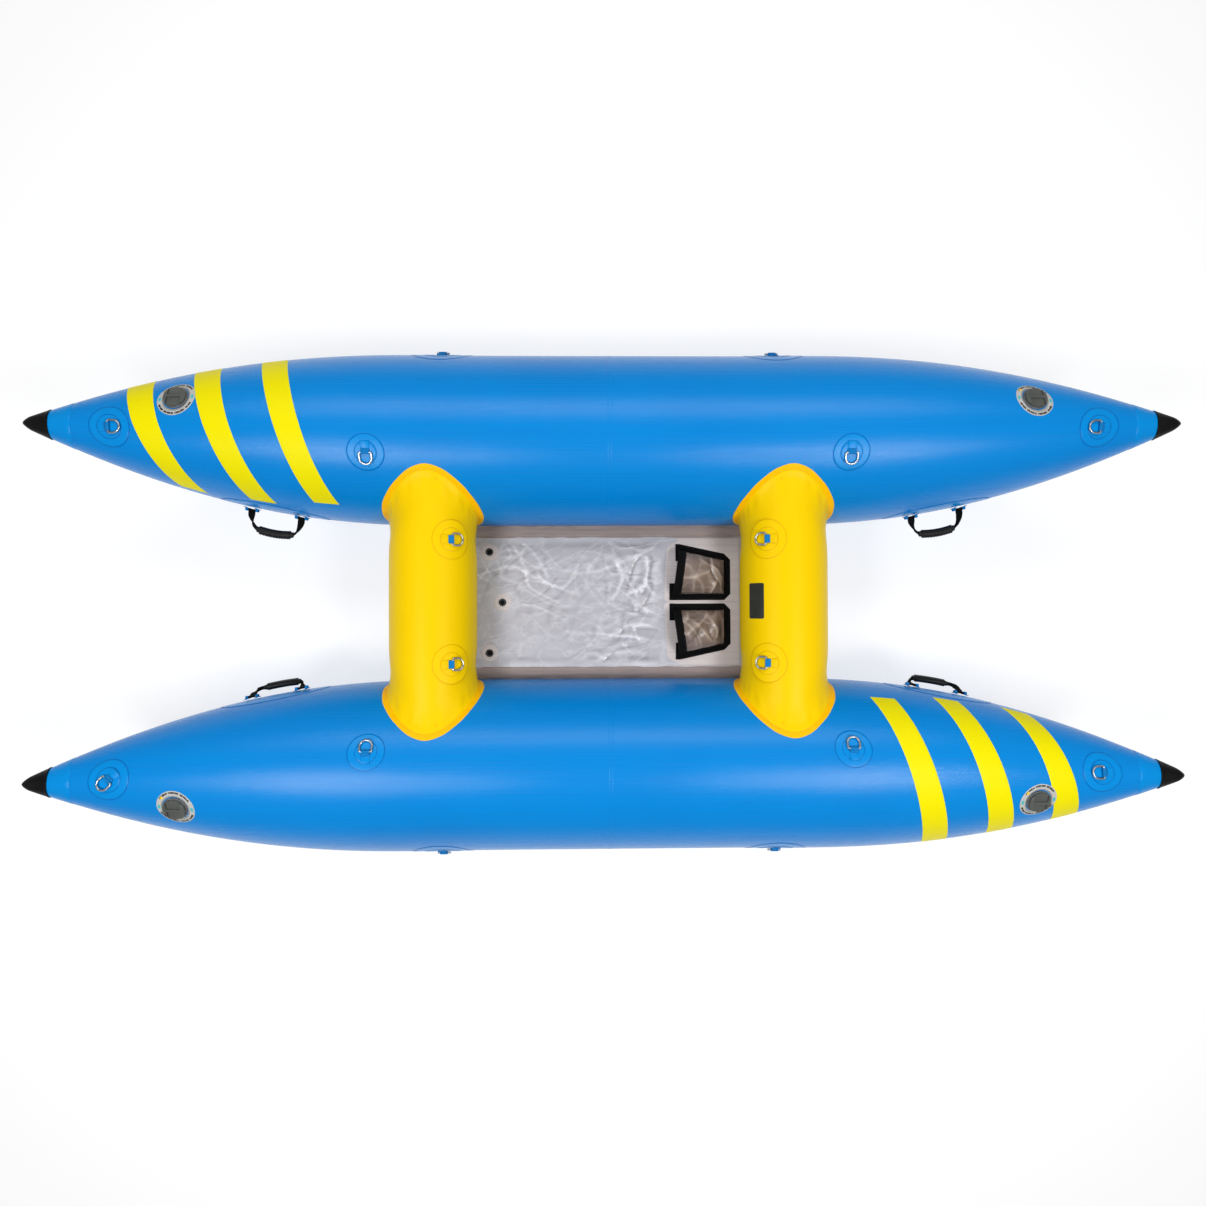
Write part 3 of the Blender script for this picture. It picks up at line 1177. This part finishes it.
# %% Cup frames: webbing round the base, over the mouth, and two stubs
def frame_outline(margin, bevel):
    toe, inner, mouth = CUP_X + CUP_L + margin, CUP_Y - margin, CUP_Y + CUP_W + margin
    outer = mouth - CUP_NARROWING
    return np.array([(CUP_X - 1 * MM, inner), (toe - bevel, inner), (toe, inner + bevel),
                     (toe, outer - bevel), (toe - bevel, outer), (CUP_X + CUP_SKEW - 1 * MM, mouth)])


def lay_frame(cloth, side):
    """A flat ribbon between two outlines, with its corners mitred."""
    steps = np.linspace(0, 1, 17)[:, None]

    def dense(corners):
        return np.concatenate([a + (b - a) * steps[:-1] for a, b in zip(corners, corners[1:])]
                              + [corners[-1:]])

    inner, outer = dense(frame_outline(0.5 * MM, 0.5 * MM)), dense(frame_outline(CUP_WEB, 22 * MM))
    share = np.array([0, 0.03, 0.1, 0.5, 0.9, 0.97, 1])[None, :, None]
    flat = inner[:, None] * (1 - share) + outer[:, None] * share
    lift = np.array([0.0, 1.3, 1.9, 2.1, 1.9, 1.3, 0.0]) * MM
    z = CUP_FOOT + np.broadcast_to(lift, flat.shape[:2])
    run = np.concatenate([[0], np.cumsum(np.linalg.norm(np.diff(outer, axis=0), axis=1))])
    metres = np.stack([np.broadcast_to(run[:, None], z.shape),
                       np.broadcast_to((share[0, :, 0] - 0.5) * CUP_WEB, z.shape)], -1)
    cloth.lay(np.stack([flat[..., 0], side * flat[..., 1], z], -1), metres, UP)


ARCH_MIDDLE, ARCH_W = 0.045, 1.2 * CUP_WEB


def lay_mouth_arch(cloth, side):
    """The band over the mouth; its width points from one arch to the next towards the toe."""
    turn = np.linspace(0, math.pi, 64)
    middle = cup_arch(ARCH_MIDDLE + 0 * turn, turn, 2.2 * MM)
    front = cup_arch(ARCH_MIDDLE + 0.07 + 0 * turn, turn, 2.2 * MM)
    middle[:, 1] *= side
    front[:, 1] *= side
    middle[:, 2] = np.maximum(middle[:, 2], CUP_FOOT + 1.2 * MM)
    lay_ribbon(cloth, middle, ARCH_W, front - middle, 2.2 * MM)


STUB_L = 60 * MM
frames, cups = Cloth(), {}
for name, side in SIDES.items():
    lay_frame(frames, side)
    lay_mouth_arch(frames, side)
    for y, skew in ((CUP_Y - CUP_WEB, 0), (CUP_Y + CUP_W + CUP_WEB - STUB_L, CUP_SKEW)):
        run = np.linspace(0, STUB_L, 13)
        path = np.stack([np.full(13, CUP_X + skew - 9.5 * MM), side * (y + run),
                         CUP_FOOT + 1.2 * MM + 1.0 * MM * np.sin(run * 52)], -1)
        lay_ribbon(frames, path, 18 * MM, (1, 0, 0), 2.2 * MM)
    cloth, push = cup_cloth(side, 5 if side > 0 else 8)
    cups[name] = cloth_piece(f"cup_cloth_{name}", cloth, CUP, 1.2 * MM,
                             replaces=["foot_cups"] if side > 0 else ())
    mark_folds(cups[name], push, 6)
cloth_piece("cup_webbing", frames, WEB_BLACK, replaces=["foot_cup_webbing"])

# %% [markdown]
# Finish declares what is loose cloth, with the size each sheet was cut to.

# %% The sheets and the sizes they were cut to
print("three sheets are declared")

# %% [markdown]
# ## Valve labels and the plain panel
# Each tube valve has a printed ring round it. Its UV map holds the distance from the
# valve's middle and the turn round it, so the printed arcs and dots are comparisons of
# those two numbers. The marks are plain: they stand for printing and say nothing.

# %% Printed rings round the valves
def make_label(bench):
    radius, turn, _ = bench.parts(bench.cloth())

    def ring(low, high):
        return (radius > low * MM) * (radius < high * MM)

    def within(middle, half):
        """1 where the turn is near a direction, the short way round."""
        return (turn - middle).cos() > math.cos(half)

    grain = bench.noise(bench.here(), 500.0, 2.0)
    breaks = ((turn * 9).sin() > -0.94) * ((turn * 23 + 1).sin() > -0.97)
    arcs = within(-math.pi / 2, 1.2) + within(math.pi / 2, 1.05)
    dark = (ring(49, 55) * breaks * arcs).at_most(1.0)
    fine_arc = ring(44.2, 45.4) * within(-math.pi / 2, 0.9) * 0.8
    dark = (dark + ring(40.5, 42.5) * 0.7 + fine_arc).at_most(1.0)
    teal = ring(46, 54) * (within(0.0, 0.13) + within(math.pi, 0.13))
    amber = ring(46, 53) * within(2.45, 0.09)
    base = bench.blend(grain * 0.5, colour(188, 188, 184), colour(160, 160, 156))
    tint = bench.blend(dark, base, colour(52, 46, 44))
    tint = bench.blend(teal, tint, colour(60, 176, 184))
    return ({"Base Color": bench.blend(amber, tint, colour(236, 196, 20)),
             "Roughness": 0.38 + grain * 0.1}, (grain, 0.06 * MM))


LABEL = material("label_print_grey", make_label)
for side_name, side in SIDES.items():
    for end_name, end in ENDS.items():
        label = Cloth()
        radius = (np.array([39.2, 39.5, 42, 46, 50, 54, 57, 57.7, 58]) * MM)[:, None]
        turn = np.linspace(-math.pi, math.pi, 97)[None, :]
        lift = np.array([0.7, 1.15, 1.2, 1.2, 1.2, 1.2, 1.15, 0.95, 0.1])[:, None] * MM
        x = end * VALVE_X + radius * np.cos(turn)
        angle = math.radians(VALVE_A) + side * radius * np.sin(turn) / tube_rad(x)
        points = tube_place(side)(x, angle, np.broadcast_to(lift, x.shape))
        outward = tube_place(side)(x, angle, np.broadcast_to(lift + 0.01, x.shape)) - points
        label.lay(points[:, :-1], np.stack(np.broadcast_arrays(radius, turn), -1),
                  outward[:, :-1], closed=True)
        cloth_piece(f"valve_label_{end_name}_{side_name}", label, LABEL,
                    replaces=["valve_labels"] if side * end > 0 else ())

# %% A plain dark panel on the front thwart
panel = Cloth()
y = np.linspace(-1, 1, 41)[:, None]
arc = np.linspace(-1, 1, 21)[None, :]
half_y, half_arc, corner = 58 * MM, 30 * MM, 0.12
inset = 1 - corner * (1 - np.sqrt(1 - np.clip((np.abs(y) - 0.9) / 0.1, 0, 1) ** 2))
rim = np.minimum(1, np.minimum(1 - np.abs(y), 1 - np.abs(arc)) / 0.04)
angle = math.radians(51) + arc * half_arc / THWART_R * inset
points = thwart_place(1)(y * half_y + 0 * arc, angle, 0.1 * MM + 0.5 * MM * rim)
panel.lay(points, np.stack([y * half_y + 0 * arc, arc * half_arc + 0 * y], -1),
          points - np.array([THWART_X, 0, THWART_Z]))
cloth_piece("thwart_panel_dark", panel, PANEL)

# %% [markdown]
# ## Stitches
# Sewn seams are rows of small beads of thread. One Geometry Nodes tree walks along any
# line, drops a flattened bead at every pitch, turns it along the line, and makes the beads
# real. The lines are drawn as edges, and the tree replaces them with thread.

# %% A node tree for a row of stitches
def stitch_tree():
    bench, size = tree_with("Stitch row", {
        "Line": "Geometry", "Pitch": "Float", "Stitch length": "Float",
        "Thread radius": "Float", "Finish": "Material"})
    curve = bench.node("GeometryNodeMeshToCurve", {}, {"Mesh": size["Line"]})
    spaced = bench.node("GeometryNodeResampleCurve", {"mode": "LENGTH"},
                        {"Curve": curve, "Length": size["Pitch"]})
    along = bench.node("GeometryNodeInputTangent")
    turned = bench.node("FunctionNodeAlignRotationToVector", {"axis": "X"}, {"Vector": along})
    bead = bench.node("GeometryNodeMeshUVSphere", {},
                      {"Segments": 6, "Rings": 4, "Radius": size["Thread radius"]})
    stretch = bench.join(size["Stitch length"] / size["Thread radius"] / 2, 1.0, 1.0)
    placed = bench.node("GeometryNodeInstanceOnPoints", {}, {
        "Points": spaced, "Instance": bead, "Rotation": turned, "Scale": stretch})
    real = bench.node("GeometryNodeRealizeInstances", {}, {"Geometry": placed})
    smooth = bench.node("GeometryNodeSetShadeSmooth", {}, {"Geometry": real})
    return send_out(bench, bench.node(
        "GeometryNodeSetMaterial", {}, {"Geometry": smooth, "Material": size["Finish"]}))


STITCH_TREE = stitch_tree()


def stitched(name, lines, finish, pitch=4.2 * MM, length=3.0 * MM, radius=0.5 * MM):
    """Makes one piece of the stitches along several lines of points."""
    points, edges = [], []
    for line in lines:
        edges += [(len(points) + i, len(points) + i + 1) for i in range(len(line) - 1)]
        points += [tuple(point) for point in line]
    mesh = bpy.data.meshes.new(name)
    mesh.from_pydata(points, edges, [])
    obj = grown(name, mesh, STITCH_TREE, {
        "Pitch": pitch, "Stitch length": length, "Thread radius": radius, "Finish": finish})
    return finish_piece(obj, finish)


# %% Stitches on the hems, the cup frames and the ring loops
hem_lines, frame_lines, loop_lines = [], [], []
for side in SIDES.values():
    run = np.linspace(-0.56, 0.56, 200)
    for inset in (6 * MM, 12 * MM):
        hem_lines.append(np.stack([run, side * (HEM_IN + 9 * MM + inset) + 0 * run,
                                   FLOOR_TOP + 2.2 * MM + 0 * run], -1))
    for margin in (3.5 * MM, CUP_WEB - 3.5 * MM):
        corners = frame_outline(margin, margin * 0.9)
        corners = np.column_stack([corners, np.full(6, CUP_FOOT + 2.0 * MM)])
        corners[:, 1] *= side
        frame_lines.append(corners)
    for share in (-0.18, 0.8):
        turn = np.linspace(0.06, math.pi - 0.06, 60)
        arch = cup_arch(CUP_WEB / CUP_L * share + 0 * turn, turn, 3.4 * MM)
        arch[:, 1] *= side
        frame_lines.append(arch)
for place in ring_frames:
    box = [(-11, -12), (11, -12)]
    corners = [place @ Vector((x * MM, y * MM, 3.2 * MM)) for x, y in box]
    loop_lines.append(corners)
stitched("hem_stitches", hem_lines, PALE_THREAD)
stitched("cup_stitches", frame_lines, THREAD)
stitched("loop_stitches", loop_lines, WEB_BLUE, 2.6 * MM, 1.9 * MM, 0.35 * MM)

# %% [markdown]
# ## Parts that keep their CAD shape
# Rings, valves, grommets and what is inside the tubes are already the right shape, so they
# only get their finishes.

# %% Finishes for the CAD nodes that stay
KEPT = {"ring_": (STEEL, "ring_steel"), "valve_cap": (CAP, "cap_grey"),
        "valve_plunger": (WHITE, "plunger_white"), "valve_bodies": (VALVE, "valve_grey"),
        "valve_nuts": (VALVE, "valve_grey"), "valve_springs": (STEEL, "spring_steel"),
        "drain_grommets": (GROMMET, "grommet_dark"), "chamber_baffles": (BAFFLE, "baffle_grey")}
kept = 0
for name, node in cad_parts.items():
    if node.hide_render:
        continue
    finish, slot = next(value for start, value in KEPT.items() if name.startswith(start))
    node.data.materials.clear()
    node.data.materials.append(finish)
    kept += 1
print("CAD nodes that keep their shape:", kept)

# %% [markdown]
# ## Ground, light and camera
# The craft lies on a pale plain ground that glows a little. A long soft light along its
# left side makes the streak on each tube, and two small ones lift the ends. The camera
# hangs above it, looks straight down, and takes in a wide angle.

# %% Ground
def make_ground(bench):
    return {"Base Color": (0.42, 0.42, 0.42, 1), "Roughness": 0.9,
            "Emission Color": (1, 1, 1, 1), "Emission Strength": 0.64}, None


GROUND = material("ground_pale", make_ground)
ground_mesh = bpy.data.meshes.new("ground")
ground_mesh.from_pydata([(-40, -40, -0.001), (40, -40, -0.001), (40, 40, -0.001), (-40, 40, -0.001)], [],
                        [(0, 1, 2, 3)])
ground = new_object("ground", ground_mesh)
ground_mesh.materials.append(GROUND)

# %% Lights
def soft_light(name, place, width, length, power, aim=(0, 0, 0)):
    data = bpy.data.lights.new(name, "AREA")
    data.shape, data.size, data.size_y, data.energy = "RECTANGLE", width, length, power
    lamp = new_object(name, data)
    lamp.location = place
    lamp.rotation_euler = (Vector(aim) - Vector(place)).to_track_quat("-Z", "Y").to_euler()
    return lamp


for end_name, end in ENDS.items():
    soft_light(f"{end_name}_soft", (end * 1.8, -1.15, 3.7), 1.5, 0.7, 70, (end * 0.5, 0, 0))
soft_light("port_soft", (0, 2.6, 3.6), 5.0, 0.8, 76)
world = bpy.data.worlds.new("studio")
world.use_nodes = True
background = world.node_tree.nodes["Background"]
background.inputs["Color"].default_value = (1, 1, 1, 1)
background.inputs["Strength"].default_value = 0.22
bpy.context.scene.world = world
bpy.context.scene.view_settings.view_transform = "Standard"

# %% Camera
camera_data = bpy.data.cameras.new("camera")
camera_data.sensor_width, camera_data.lens = 36.0, 22.12
camera_data.clip_end = 60
camera = new_object("camera", camera_data)
camera.location = (-0.065, -0.026, 2.902)
camera.rotation_euler = (0.0087, -0.0177, -0.0038)
bpy.context.scene.camera = camera
